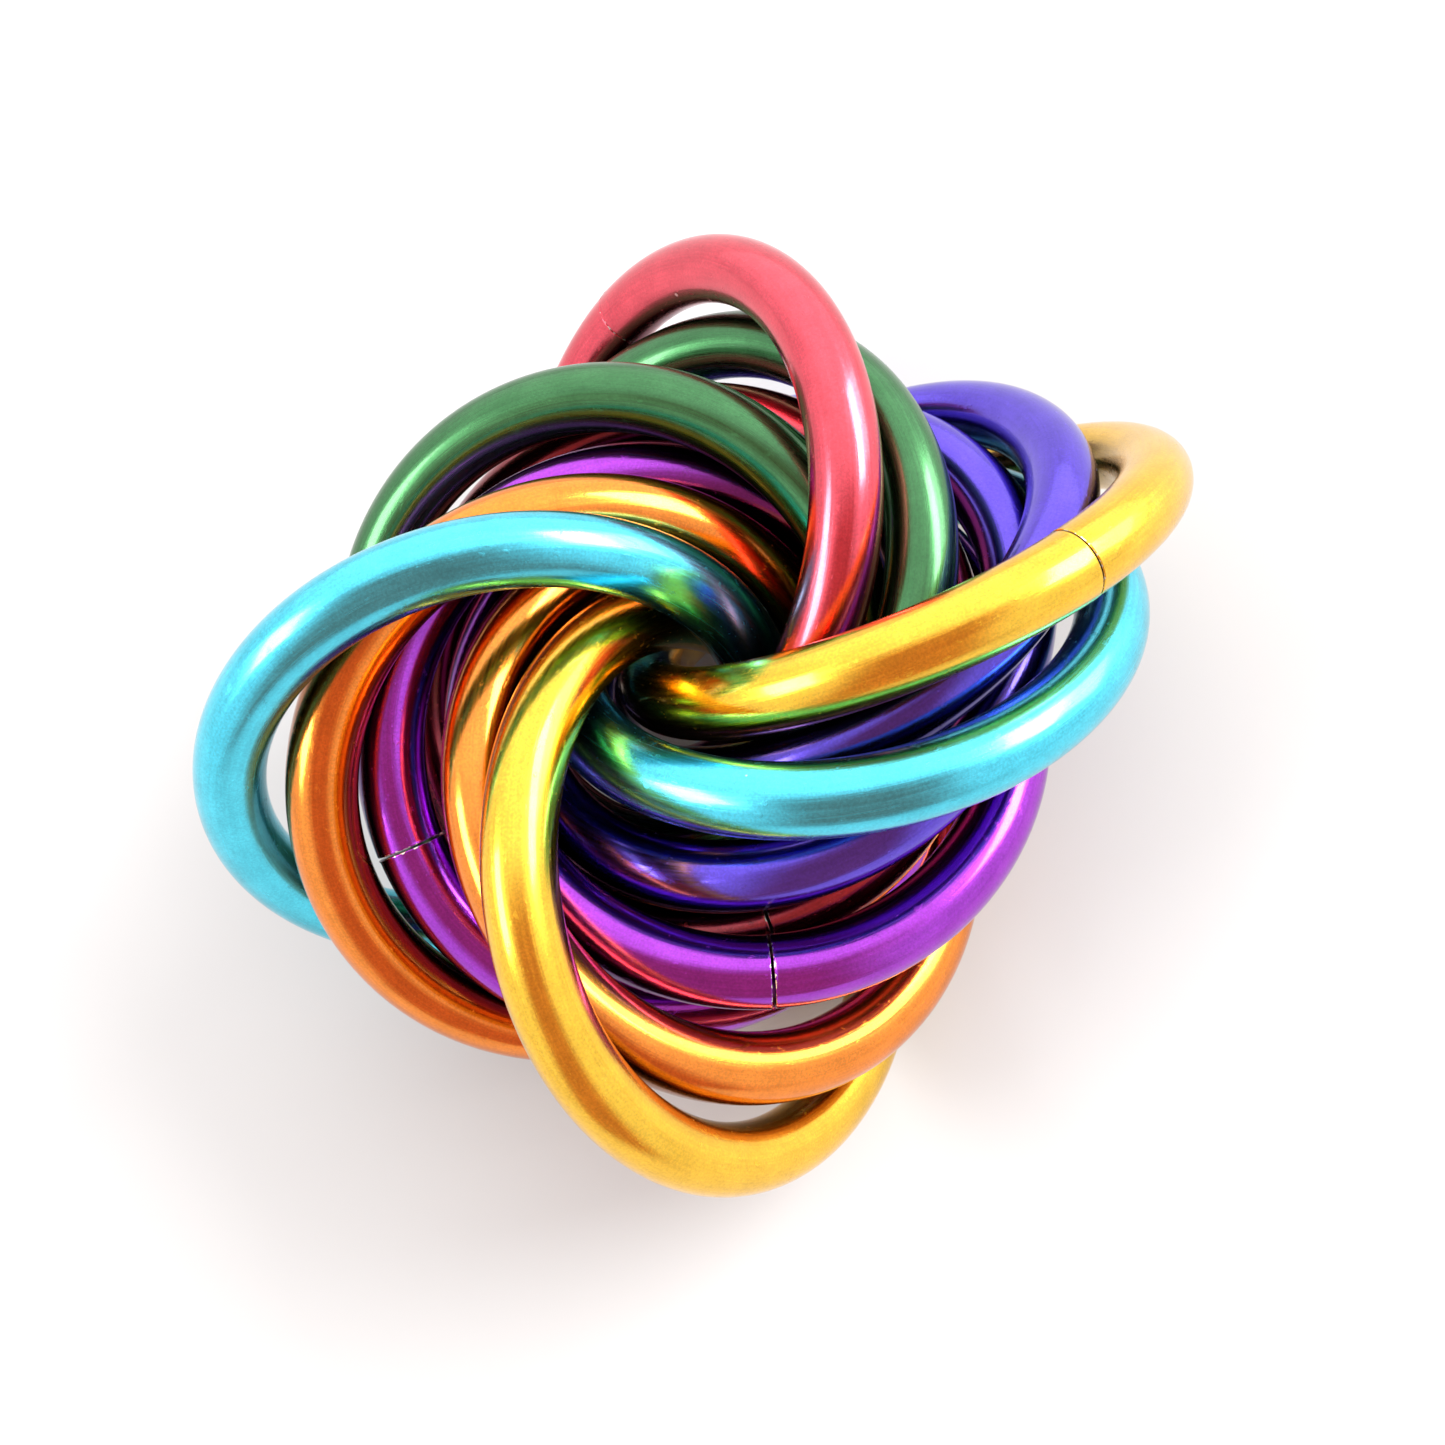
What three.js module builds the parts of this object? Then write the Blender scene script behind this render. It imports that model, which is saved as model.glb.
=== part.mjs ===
// A puzzle ball of fourteen wire rings, every ring linked through all the others.
// Millimetres, +Z up. The ball rests on three of its rings; the origin is on the floor below its middle.
import * as THREE from 'three';
import { mergeGeometries, mergeVertices } from 'three/addons/utils/BufferGeometryUtils.js';

// ---- driving dimensions -------------------------------------------------------------------
const WIRE = 3.8;                       // wire thickness
const INNER = 25.4;                     // inside diameter of a ring
const RING = (INNER + WIRE) / 2;        // radius of the wire's centre line
const KERF = 0.16;                      // saw cut left between the two butted wire ends
const WIRE_SIDES = 12;                  // facets round the wire
const RING_STEPS = 36;                  // segments round the ring

const ANODISED = {
  red: 0xc8203c,
  orange: 0xe07818,
  gold: 0xe0b428,
  green: 0x1c7a3c,
  turquoise: 0x38b8dc,
  indigo: 0x4434d8,
  violet: 0x9c30dc,
};

const deg = THREE.MathUtils.degToRad;

// ---- one ring ------------------------------------------------------------------------------
// The ring lies in its own XY plane, axis +Z, with the saw cut centred on +X.
function ringGeometry() {
  const halfKerf = KERF / 2 / RING;
  const arc = 2 * Math.PI - 2 * halfKerf;
  const wire = new THREE.TorusGeometry(RING, WIRE / 2, WIRE_SIDES, RING_STEPS, arc);

  const firstEnd = new THREE.CircleGeometry(WIRE / 2, WIRE_SIDES);
  firstEnd.rotateX(Math.PI / 2);
  firstEnd.translate(RING, 0, 0);

  const lastEnd = new THREE.CircleGeometry(WIRE / 2, WIRE_SIDES);
  lastEnd.rotateX(-Math.PI / 2);
  lastEnd.translate(RING, 0, 0);
  lastEnd.rotateZ(arc);

  const solid = mergeGeometries([wire, firstEnd, lastEnd].map(bare));
  solid.rotateZ(halfKerf);
  return mergeVertices(solid, 1e-4);
}

// Positions only, so that the end faces weld to the wire's rim.
function bare(geometry) {
  geometry.deleteAttribute('normal');
  geometry.deleteAttribute('uv');
  return geometry;
}

// Height of a ring's centre when its lowest edge just touches the floor.
const restingHeight = (lean) => WIRE / 2 + RING * Math.sin(deg(lean));

// `lean` tips the ring's axis away from the vertical, `toward` is the compass direction it tips to,
// and `cut` is how far round from its lowest edge the saw cut is.
function ring(name, colour, { across, along, up, lean, toward, cut }) {
  const material = new THREE.MeshStandardMaterial({
    color: ANODISED[colour],
    metalness: 1,
    roughness: 0.22,
  });
  const mesh = new THREE.Mesh(ringGeometry(), material);
  mesh.name = name;
  mesh.position.set(across, along, up ?? restingHeight(lean));
  mesh.rotation.set(0, deg(lean), deg(toward), 'ZYX');
  mesh.rotateZ(deg(cut));
  return mesh;
}

// ---- the ball ------------------------------------------------------------------------------
// Each ring leans square to the direction in which its centre is offset, all the same way round,
// so that every pair is linked once and with the same twist. No two rings touch.
const ball = new THREE.Group();
ball.name = 'linked_ring_ball';

// The three feet: these rings reach the floor.
ball.add(
  ring('ring_red_outer', 'red', { across: 2.2, along: 9.7, lean: 47.5, toward: 164, cut: 279 }),
  ring('ring_gold_front', 'gold', { across: -3.7, along: -10.1, lean: 54.5, toward: -21.5, cut: 20 }),
  ring('ring_gold_right', 'gold', { across: 11.8, along: 1.3, lean: 59.5, toward: 90.5, cut: 206 }),
);

// The flat rings in the middle of the bundle.
ball.add(
  ring('ring_red_inner', 'red', { across: -0.8, along: 1.3, up: 14.3, lean: 4.5, toward: -155, cut: 60 }),
  ring('ring_violet_right', 'violet', { across: 1.3, along: -2.3, up: 14.4, lean: 12.5, toward: 31.5, cut: 220 }),
  ring('ring_violet_left', 'violet', { across: -3.7, along: -1.7, up: 14.2, lean: 20.5, toward: -57, cut: 237 }),
  ring('ring_indigo_inner', 'indigo', { across: 3.6, along: 1.5, up: 13.6, lean: 22.5, toward: 105, cut: 40 }),
  ring('ring_green_outer', 'green', { across: -4.4, along: 3.5, up: 14.1, lean: 23.5, toward: -131.5, cut: 25 }),
  ring('ring_green_inner', 'green', { across: 1.4, along: 5.6, up: 13, lean: 29, toward: 157, cut: 330 }),
);

// The steeper rings round the outside.
ball.add(
  ring('ring_orange_inner', 'orange', { across: -1.5, along: -6.1, up: 13.6, lean: 35.5, toward: -14, cut: 10 }),
  ring('ring_orange_outer', 'orange', { across: -7.8, along: -2.2, up: 14.9, lean: 36, toward: -70, cut: 350 }),
  ring('ring_turquoise_right', 'turquoise', { across: 7.5, along: -0.3, up: 15.5, lean: 40.5, toward: 75, cut: 108 }),
  ring('ring_indigo_outer', 'indigo', { across: 7.9, along: 2.9, up: 12.8, lean: 44, toward: 105, cut: 203 }),
  ring('ring_turquoise_left', 'turquoise', { across: -11.8, along: 0.7, up: 15.7, lean: 62.5, toward: -93, cut: 15 }),
);

export default ball;
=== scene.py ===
"""A puzzle ball of linked, anodised wire rings, lying on a white table.

Every ring is one closed mesh: a round wire bent to a circle, its two saw-cut ends butted with a
ragged burr. Each takes its place, size and saw cut from its CAD ring. Metres, +Z up.
"""
import math

import bpy
import numpy as np
from mathutils import Matrix, Quaternion, Vector


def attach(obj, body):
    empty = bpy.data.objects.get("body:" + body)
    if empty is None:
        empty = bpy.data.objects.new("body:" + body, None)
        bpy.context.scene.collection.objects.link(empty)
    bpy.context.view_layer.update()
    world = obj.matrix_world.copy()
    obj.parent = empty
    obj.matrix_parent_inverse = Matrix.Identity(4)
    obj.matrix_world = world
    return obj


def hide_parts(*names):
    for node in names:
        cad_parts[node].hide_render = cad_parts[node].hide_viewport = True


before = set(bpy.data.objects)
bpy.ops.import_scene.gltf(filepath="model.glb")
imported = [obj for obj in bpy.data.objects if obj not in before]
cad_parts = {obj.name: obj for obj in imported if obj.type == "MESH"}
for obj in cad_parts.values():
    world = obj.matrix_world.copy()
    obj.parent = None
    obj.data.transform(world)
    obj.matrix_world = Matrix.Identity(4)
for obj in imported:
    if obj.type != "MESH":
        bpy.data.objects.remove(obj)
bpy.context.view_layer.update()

MM = 0.001

# ---- driving dimensions, in millimetres ------------------------------------------------------------
SLIT = 0.13                    # between the butted wire ends, on most rings
BEVEL = 0.05                   # how deep the saw broke the edge of each end
BEVEL_LENGTH = 0.05            # how far that runs along the wire
BURR = 0.07                    # tallest burr
BURR_PLACE = 0.05              # from the edge of the cut to the crest of the burr
BURR_WIDTH = 0.035             # from that crest to where the burr has mostly gone
BURR_CREEP = 0.02              # how far a burr leans over the slit
TEARS = 7                      # raised tears round each end
ROUGH_EDGE = 0.12              # height of the finest tears, as a share of the tallest
END_REACH = 0.4                # length of wire over which a crooked cut straightens out
MISMATCH = 0.05                # how far the two ends miss each other
SPRING_BACK = 5.0              # length of wire over which that miss dies away
PAINTED_SHADE_REACH = 3.0                  # how far from its neighbours a wire gets painted shade
SIDES = 64                     # round the wire
STEPS = 260                    # along the wire
NEAR_CUT = (0.02, 0.05, 0.09, 0.14, 0.22, 0.35, 0.55, 0.9, 1.4)    # extra steps beside the cut
END_ROWS = (0.93, 0.5)         # rows of points on an end face, as shares of its radius

# A few cuts are closer or cleaner than the rest: the slit, and the share of the usual burr.
NEAT_CUTS = {
    "ring_gold_right": (0.07, 0.3),
    "ring_red_outer": (0.03, 0.6),
    "ring_turquoise_right": (0.08, 1.0),
}

# ---- dyes: the colour that the metal reflects ------------------------------------------------------
DYES = {
    "red": (0.64, 0.065, 0.095),
    "orange": (0.74, 0.215, 0.020),
    "gold": (0.80, 0.465, 0.030),
    "green": (0.040, 0.150, 0.052),
    "turquoise": (0.070, 0.55, 0.70),
    "indigo": (0.10, 0.055, 0.54),
    "violet": (0.31, 0.030, 0.48),
}
BARE_METAL = (0.86, 0.85, 0.83)
DUST = (0.8, 0.78, 0.74)

# ---- surface ---------------------------------------------------------------------------------------
SMOOTHEST, ROUGHEST = 0.15, 0.21           # roughness of the drawn metal
# Some colours came out of the etching bath duller: what that adds to their roughness.
DULLER = {"green": 0.09, "turquoise": 0.04, "red": 0.03, "gold": 0.02}
RUBBED_DULLER = 0.10                       # the same, where rings rub on each other
BARE_DULLER = 0.12                         # on sawn metal
DUST_DULLER = 0.4                          # on dust
BARE_REACH = 0.235                         # how far bare metal can run from the slit, in millimetres
BARE_RAGGED = 0.42                         # how much of that its ragged edge takes away
NEAT_BARE = 0.06                           # how much less bare metal a clean cut has
PAINTED_SHADE_DARKEST = 0.08                     # share of the colour left where the painted shade is deepest, at the bottom of a crevice
DUST_PER_METRE = 260
DUST_SIZE = 0.035                          # of a speck, as a share of the space between specks
DUST_SHARE = 0.90                          # share of the possible specks that are left out
DUST_COVER = 0.55
RELIEF = 0.00002                           # height of the surface relief, in metres
RELIEF_STRENGTH = 0.28
COAT = {"Coat Weight": 0.36, "Coat Roughness": 0.10, "Coat IOR": 1.6}


# ---- small helpers ---------------------------------------------------------------------------------
def new_material(name):
    material = bpy.data.materials.new(name)
    material.use_nodes = True
    tree = material.node_tree
    return material, tree, tree.nodes["Principled BSDF"]


def add(tree, kind, **settings):
    """A new node; settings are its inputs where a name matches one, and its properties otherwise."""
    node = tree.nodes.new(kind)
    for key, value in settings.items():
        if key in node.inputs:
            node.inputs[key].default_value = value
        else:
            setattr(node, key, value)
    return node


def maths(tree, operation, *values):
    """One operation on numbers, outputs of other nodes, or both."""
    node = add(tree, "ShaderNodeMath", operation=operation)
    for socket, value in zip(node.inputs, values):
        if isinstance(value, (int, float)):
            socket.default_value = value
        else:
            tree.links.new(value, socket)
    return node.outputs[0]


def total(tree, first, *others):
    for other in others:
        first = maths(tree, "ADD", first, other)
    return first


def remap(tree, value, low, high, to_low=0.0, to_high=1.0):
    """The value carried smoothly from one range to another, and held at its ends."""
    node = add(tree, "ShaderNodeMapRange", interpolation_type="SMOOTHSTEP")
    tree.links.new(value, node.inputs["Value"])
    node.inputs["From Min"].default_value = low
    node.inputs["From Max"].default_value = high
    node.inputs["To Min"].default_value = to_low
    node.inputs["To Max"].default_value = to_high
    return node.outputs["Result"]


def blend_colours(tree, share, first, second):
    node = add(tree, "ShaderNodeMix", data_type="RGBA")
    tree.links.new(share, node.inputs["Factor"])
    for socket, colour in ((node.inputs[6], first), (node.inputs[7], second)):
        if isinstance(colour, tuple):
            socket.default_value = (*colour, 1)
        else:
            tree.links.new(colour, socket)
    return node.outputs[2]


def scale_colour(tree, colour, amount):
    node = add(tree, "ShaderNodeVectorMath", operation="SCALE")
    tree.links.new(colour, node.inputs[0])
    tree.links.new(amount, node.inputs["Scale"])
    return node.outputs[0]


# ---- reading a ring from its CAD node --------------------------------------------------------------
def fit_circle(points):
    """Centre of the circle through points in a plane, as an (x, y) pair."""
    rows = np.column_stack([2 * points, np.ones(len(points))])
    solution = np.linalg.lstsq(rows, (points ** 2).sum(1), rcond=None)[0]
    return solution[:2]


def read_ring(node):
    """The ring's placement (its axis on Z, its saw cut on X), ring radius and wire radius, in metres."""
    corners = np.array([v.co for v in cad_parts[node].data.vertices], float)
    corners = np.unique(corners.round(8), axis=0)
    middle = corners.mean(0)
    across, along, axis = np.linalg.svd(corners - middle)[2]
    if axis[2] < 0:
        axis = -axis
    along = np.cross(axis, across)

    # The points in the ring's own plane are the outer rim, the inner rim and the middles of the ends.
    in_plane = corners[np.abs((corners - middle) @ axis) < 1e-6]
    flat = np.column_stack([(in_plane - middle) @ across, (in_plane - middle) @ along])
    reach = np.hypot(*flat.T)
    outer = flat[reach > (reach.max() + reach.min()) / 2 + 0.25 * np.ptp(reach)]
    centre = fit_circle(outer)
    reach = np.hypot(*(flat - centre).T)
    ring_radius = (reach.max() + reach.min()) / 2
    wire_radius = (reach.max() - reach.min()) / 2
    ends = flat[np.abs(reach - ring_radius) < 0.1 * wire_radius] - centre
    cut = ends.mean(0) / np.linalg.norm(ends.mean(0))

    x_axis = Vector(across * cut[0] + along * cut[1])
    z_axis = Vector(axis)
    y_axis = z_axis.cross(x_axis)
    placement = Matrix((x_axis, y_axis, z_axis)).transposed().to_4x4()
    placement.translation = Vector(middle + across * centre[0] + along * centre[1])
    return placement, ring_radius, wire_radius


# ---- the ring --------------------------------------------------------------------------------------
def burr_profile(chance):
    """Height of the torn edge round one wire end: mostly nothing, with a few short raised tears."""
    turn = np.arange(SIDES) / SIDES * 2 * math.pi
    height = np.zeros(SIDES)
    for _ in range(TEARS):
        where = chance.uniform(0, 2 * math.pi)
        width = chance.uniform(0.06, 0.22)
        tall = chance.uniform(0.3, 1)
        away = np.abs((turn - where + math.pi) % (2 * math.pi) - math.pi)
        height += tall * np.exp(-(away / width) ** 2)
    return np.minimum(height, 1) + ROUGH_EDGE * chance.random(SIDES)


def bent_wire(ring_radius, wire_radius, slit, torn, chance):
    """The wire's points, SIDES at each station along it, and what the material reads at each point."""
    length = 2 * math.pi * ring_radius / MM
    near = np.array((0.0, *NEAR_CUT)) + slit / 2
    far = np.linspace(near[-1], length - near[-1], STEPS)[1:-1]
    stations = np.concatenate([near, far, length - near[::-1]])
    turn = np.arange(SIDES) / SIDES * 2 * math.pi
    burrs = (torn * burr_profile(chance), torn * burr_profile(chance))
    miss = chance.uniform(-1, 1, 2)
    miss = miss / np.linalg.norm(miss) * MISMATCH / 2 * chance.uniform(0.5, 1)
    lean = chance.uniform(0.1, 0.35) * slit
    lean_way = chance.uniform(0, 2 * math.pi)

    corners, rounds, places = [], [], []
    for along in stations:
        first_half = along < length / 2
        from_cut = min(along, length - along)
        from_edge = from_cut - slit / 2
        side = 1 if first_half else -1
        burr = burrs[0] if first_half else burrs[1]
        crest = math.exp(-((from_edge - BURR_PLACE) / BURR_WIDTH) ** 2)
        bevel = BEVEL * max(0.0, 1 - from_edge / BEVEL_LENGTH) ** 2
        tube = wire_radius / MM - bevel + BURR * crest * burr
        offset = side * miss * math.exp(-from_edge / SPRING_BACK)
        fade = math.exp(-from_edge / END_REACH)
        slide = side * (lean * np.cos(turn - lean_way) * 0.5 - BURR_CREEP * burr) * fade
        angle = (along + slide) / (length / (2 * math.pi))
        out = ring_radius / MM + offset[0] + tube * np.cos(turn)
        up = offset[1] + tube * np.sin(turn)
        corners.append(np.column_stack([out * np.cos(angle), out * np.sin(angle), up]))
        rounds.append(np.column_stack([np.cos(turn), np.sin(turn), np.full(SIDES, from_cut)]))
        places.append(np.column_stack([np.cos(angle), np.sin(angle), np.zeros(SIDES)]))
    return np.concatenate(corners), np.concatenate(rounds), np.concatenate(places)


def ring_mesh(name, ring_radius, wire_radius, slit, torn, chance):
    """A bent wire, its cut on +X. Its attributes say where each point lies, for the material."""
    corners, rounds, places = bent_wire(ring_radius, wire_radius, slit, torn, chance)
    count = len(corners) // SIDES
    faces = []
    for i in range(count - 1):
        for j in range(SIDES):
            k = (j + 1) % SIDES
            faces.append((i * SIDES + j, (i + 1) * SIDES + j, (i + 1) * SIDES + k, i * SIDES + k))

    # The end faces: two rows of points, then one in the middle.
    for end, flip in ((0, False), (count - 1, True)):
        rim = np.arange(SIDES) + end * SIDES
        middle = corners[rim].mean(0)
        for share in END_ROWS:
            inner = np.arange(SIDES) + len(corners)
            corners = np.concatenate([corners, middle + (corners[rim] - middle) * share])
            rounds = np.concatenate([rounds, np.tile((0, 0, 0), (SIDES, 1))])
            places = np.concatenate([places, places[:SIDES]])
            for j in range(SIDES):
                k = (j + 1) % SIDES
                quad = (rim[j], rim[k], inner[k], inner[j])
                faces.append(quad[::-1] if flip else quad)
            rim = inner
        corners = np.concatenate([corners, [middle]])
        rounds = np.concatenate([rounds, [(0, 0, 0)]])
        places = np.concatenate([places, places[:1]])
        for j in range(SIDES):
            triangle = (rim[j], rim[(j + 1) % SIDES], len(corners) - 1)
            faces.append(triangle[::-1] if flip else triangle)

    mesh = bpy.data.meshes.new(name)
    mesh.from_pydata((corners * MM).tolist(), [], [tuple(map(int, face)) for face in faces])
    for label, values in (("wire_round", rounds), ("ring_place", places)):
        attribute = mesh.attributes.new(label, "FLOAT_VECTOR", "POINT")
        attribute.data.foreach_set("vector", values.astype(np.float32).ravel())
    mesh.shade_smooth()
    return mesh


# ---- anodised aluminium ----------------------------------------------------------------------------
def anodised(name, dye, duller, slit, torn, seed):
    """Dyed aluminium wire: a clear hard coat over coloured metal, drawn lengthways, bare at the cut."""
    material, tree, shader = new_material(name)
    link = tree.links.new
    round_wire = add(tree, "ShaderNodeAttribute", attribute_name="wire_round")
    along_ring = add(tree, "ShaderNodeAttribute", attribute_name="ring_place")
    way_round = add(tree, "ShaderNodeSeparateXYZ")
    way_along = add(tree, "ShaderNodeSeparateXYZ")
    link(round_wire.outputs["Vector"], way_round.inputs[0])
    link(along_ring.outputs["Vector"], way_along.inputs[0])
    from_cut = way_round.outputs[2]            # in millimetres

    def wire_noise(lengthways, crossways, detail, shift=0.0):
        """Noise that runs unbroken round the wire and along the ring, at its own scale in each."""
        start = seed * 7.3 + shift
        place = add(tree, "ShaderNodeCombineXYZ")
        link(maths(tree, "MULTIPLY", way_along.outputs[0], lengthways), place.inputs[0])
        link(maths(tree, "MULTIPLY", way_along.outputs[1], lengthways), place.inputs[1])
        link(maths(tree, "MULTIPLY_ADD", way_round.outputs[0], crossways, start), place.inputs[2])
        noise = add(tree, "ShaderNodeTexNoise", noise_dimensions="4D", Scale=1, Detail=detail)
        link(place.outputs[0], noise.inputs["Vector"])
        link(maths(tree, "MULTIPLY", way_round.outputs[1], crossways), noise.inputs["W"])
        return noise.outputs["Fac"]

    drawn = wire_noise(2.5, 14, 4)
    mottle = wire_noise(9, 1.6, 4, 3.1)
    fine = wire_noise(130, 15, 2, 5.7)
    lines = wire_noise(3, 17, 4, 12.1)
    rubs = wire_noise(22, 5, 4, 15.3)
    nicks = wire_noise(60, 8, 3, 9.9)
    rubbed = remap(tree, rubs, 0.60, 0.72)

    # The dye takes a little unevenly, with a fine grain and faint lines along the wire.
    deep = tuple(c * 0.93 for c in dye)
    pale = tuple(min(1.0, c * 1.06 + 0.004) for c in dye)
    colour = blend_colours(tree, remap(tree, mottle, 0.3, 0.7), deep, pale)
    grain = remap(tree, fine, 0.25, 0.75, 0.92, 1.18)
    streaks = remap(tree, lines, 0.3, 0.7, 0.93, 1.05)
    colour = scale_colour(tree, colour, maths(tree, "MULTIPLY", grain, streaks))

    # Bare metal on the saw-cut faces, on the torn lip and in a few nicks beside it.
    furthest = slit / 2 + BARE_REACH - NEAT_BARE * (1 - torn)
    ragged = maths(tree, "MULTIPLY_ADD", nicks, -BARE_RAGGED, furthest)
    bare_lip = maths(tree, "LESS_THAN", from_cut, ragged)
    colour = blend_colours(tree, bare_lip, colour, BARE_METAL)

    # Dust: a few pale specks that sit on the wire.
    dust = add(tree, "ShaderNodeTexVoronoi", feature="F1", distance="EUCLIDEAN", Scale=DUST_PER_METRE)
    dust_place = add(tree, "ShaderNodeTexCoord")
    dust_pick = add(tree, "ShaderNodeSeparateXYZ")
    link(dust_place.outputs["Object"], dust.inputs["Vector"])
    link(dust.outputs["Color"], dust_pick.inputs[0])
    small = maths(tree, "LESS_THAN", dust.outputs["Distance"], DUST_SIZE)
    picked = maths(tree, "GREATER_THAN", dust_pick.outputs[0], DUST_SHARE)
    speck = maths(tree, "MULTIPLY", small, picked)
    colour = blend_colours(tree, maths(tree, "MULTIPLY", speck, DUST_COVER), colour, DUST)

    # Painted shade: the colour is darkened in the crevices where wires lie together, standing in for the
    # shade there.
    painted_shade_node = add(tree, "ShaderNodeAmbientOcclusion", samples=6, Distance=PAINTED_SHADE_REACH * MM)
    painted_shade_factor = remap(tree, painted_shade_node.outputs["AO"], 0.06, 0.75, PAINTED_SHADE_DARKEST, 1.0)
    link(scale_colour(tree, colour, painted_shade_factor), shader.inputs["Base Color"])

    # Metal under a clear coat, duller where it is rubbed, sawn or dusty.
    shader.inputs["Metallic"].default_value = 1.0
    shader.inputs["Specular Tint"].default_value = (*(0.9 + 0.1 * c for c in dye), 1)
    for socket, value in COAT.items():
        shader.inputs[socket].default_value = value
    rough = total(
        tree,
        remap(tree, drawn, 0.3, 0.7, SMOOTHEST + duller, ROUGHEST + duller),
        maths(tree, "MULTIPLY", speck, DUST_DULLER),
        maths(tree, "MULTIPLY", rubbed, RUBBED_DULLER),
        remap(tree, lines, 0.3, 0.7, -0.02, 0.04),
        maths(tree, "MULTIPLY", bare_lip, BARE_DULLER),
    )
    link(rough, shader.inputs["Roughness"])

    # Relief: die lines along the wire, a fine satin from the etching bath, specks and rubs.
    relief = total(
        tree,
        maths(tree, "MULTIPLY", drawn, 0.7),
        maths(tree, "MULTIPLY", fine, 0.16),
        maths(tree, "MULTIPLY", speck, 2.0),
        maths(tree, "MULTIPLY", lines, 0.9),
        maths(tree, "MULTIPLY", maths(tree, "MULTIPLY", rubbed, nicks), 1.6),
    )
    bump = add(tree, "ShaderNodeBump", Strength=RELIEF_STRENGTH, Distance=RELIEF)
    link(relief, bump.inputs["Height"])
    link(bump.outputs["Normal"], shader.inputs["Normal"])
    return material


def build_rings():
    for seed, node in enumerate(sorted(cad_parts)):
        chance = np.random.default_rng(100 + seed)
        placement, ring_radius, wire_radius = read_ring(node)
        label = node.replace("ring_", "anodised_wire_")
        slit, torn = NEAT_CUTS.get(node, (SLIT, 1.0))
        mesh = ring_mesh(label, ring_radius, wire_radius, slit, torn, chance)
        mesh.transform(placement)
        colour = node.split("_")[1]
        duller = DULLER.get(colour, 0.0)
        mesh.materials.append(anodised(label, DYES[colour], duller, slit, torn, seed))
        ring = bpy.data.objects.new(label, mesh)
        bpy.context.scene.collection.objects.link(ring)
        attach(ring, node)
        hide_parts(node)


# ---- table -----------------------------------------------------------------------------------------
TABLE_WHITE = (0.53, 0.54, 0.538)
TABLE_SIZE = 3.0                           # metres


def build_table():
    bpy.ops.mesh.primitive_plane_add(size=TABLE_SIZE, location=(0, 0, 0))
    table = bpy.context.object
    table.name = "table"
    material, _, shader = new_material("white_table")
    shader.inputs["Base Color"].default_value = (*TABLE_WHITE, 1)
    shader.inputs["Roughness"].default_value = 0.7
    shader.inputs["Specular IOR Level"].default_value = 0.3
    table.data.materials.append(material)


# ---- light -----------------------------------------------------------------------------------------
WALLS = (1.24, 1.24, 1.26)
BRIGHT_WALL = (2.05, 2.05, 2.05)           # behind the ball, to the right
ONLOOKER = (0.70, 0.33, 0.28)              # the warm dark side of the room, where the camera is held
BACKDROP = (0.80, 0.79, 0.785)             # what a view over the table's edge shows, plain and pale
LIGHT_DISTANCE = 0.6                       # metres

# Each light's compass bearing and angle from the vertical in degrees, its sides in metres, and its
# brightness, in the walls' units.
SOFT_BOXES = {
    "window_left": (168, 51, (0.32, 0.19), 11.5),
    "window_right": (4, 50, (0.36, 0.20), 14),
    "window_right_low": (7, 69, (0.30, 0.20), 4.5),
}


def compass_way(compass, zenith):
    """The direction that a compass bearing from +X and an angle from the vertical give, in degrees."""
    turn, tip = math.radians(compass), math.radians(zenith)
    return Vector((math.sin(tip) * math.cos(turn), math.sin(tip) * math.sin(turn), math.cos(tip)))


def soft_box(name, compass, zenith, size, strength):
    """A rectangular light aimed at the ball."""
    light = bpy.data.lights.new(name, "AREA")
    light.shape = "RECTANGLE"
    light.size, light.size_y = size
    light.energy = strength * math.pi * size[0] * size[1]
    lamp = bpy.data.objects.new(name, light)
    bpy.context.scene.collection.objects.link(lamp)
    way = compass_way(compass, zenith)
    lamp.location = way * LIGHT_DISTANCE
    lamp.rotation_euler = (-way).to_track_quat("-Z", "Y").to_euler()


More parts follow.
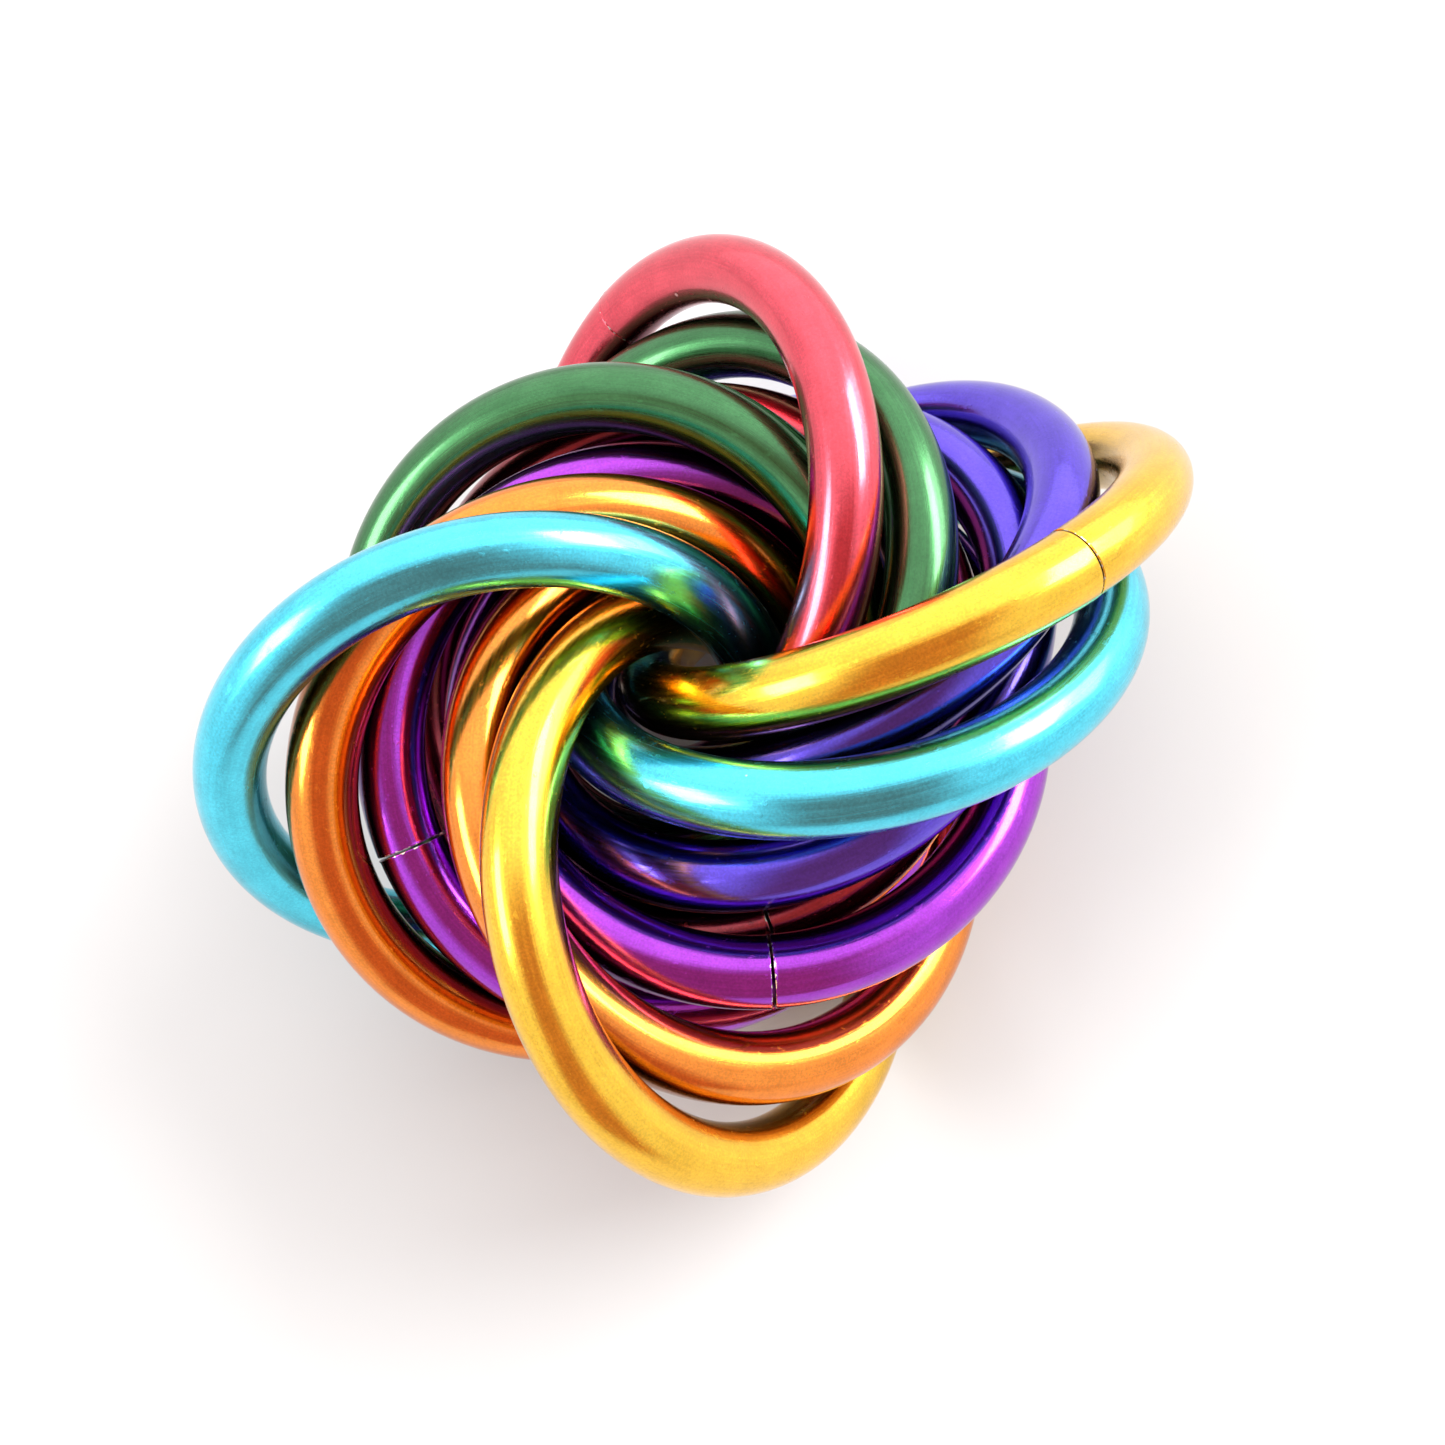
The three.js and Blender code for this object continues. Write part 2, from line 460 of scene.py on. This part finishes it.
def build_room():
    """Pale walls all round, but for the side where whoever holds the camera stands and leans over."""
    world = bpy.data.worlds.new("pale_room")
    bpy.context.scene.world = world
    world.use_nodes = True
    tree = world.node_tree
    look = add(tree, "ShaderNodeTexCoord")

    def reach(direction):
        """How far each way in the room leans towards a direction, from -1 to 1."""
        towards = add(tree, "ShaderNodeVectorMath", operation="DOT_PRODUCT")
        towards.inputs[1].default_value = direction
        tree.links.new(look.outputs["Generated"], towards.inputs[0])
        return towards.outputs["Value"]

    brighter = remap(tree, reach(compass_way(55, 60)), 0.1, 0.95)
    walls = blend_colours(tree, brighter, WALLS, BRIGHT_WALL)
    in_front = remap(tree, reach(compass_way(-105, 90)), -0.16, 0.24)
    sideways = maths(tree, "ABSOLUTE", reach(compass_way(-15, 90)))
    shade = maths(tree, "MULTIPLY", in_front, remap(tree, sideways, 0.66, 0.28))
    colour = blend_colours(tree, shade, walls, ONLOOKER)
    seen = add(tree, "ShaderNodeLightPath").outputs["Is Camera Ray"]
    colour = blend_colours(tree, seen, colour, BACKDROP)
    tree.links.new(colour, tree.nodes["Background"].inputs["Color"])
    tree.nodes["Background"].inputs["Strength"].default_value = 1.0


# ---- camera ----------------------------------------------------------------------------------------
CAMERA_PLACE = (0.65, -25.8, 108.7)        # millimetres
CAMERA_LOOKS = (-0.0459, 0.2747, -0.9604)
CAMERA_ROLL = -33.6                        # degrees
LENS = 44.25                               # millimetres, on a 36 mm wide frame
SHIFT = (0.0605, -0.0199)


def build_camera():
    data = bpy.data.cameras.new("camera")
    data.lens = LENS
    data.sensor_width = 36
    data.shift_x, data.shift_y = SHIFT
    data.clip_start = 0.005
    camera = bpy.data.objects.new("camera", data)
    bpy.context.scene.collection.objects.link(camera)
    turn = Vector(CAMERA_LOOKS).to_track_quat("-Z", "Y")
    roll = Quaternion((0, 0, 1), math.radians(CAMERA_ROLL))
    place = Matrix.Translation(Vector(CAMERA_PLACE) * MM)
    camera.matrix_world = place @ (turn @ roll).to_matrix().to_4x4()
    bpy.context.scene.camera = camera


build_rings()
build_table()
build_room()
for light_name, settings in SOFT_BOXES.items():
    soft_box(light_name, *settings)
build_camera()
bpy.context.scene.view_settings.view_transform = "Standard"
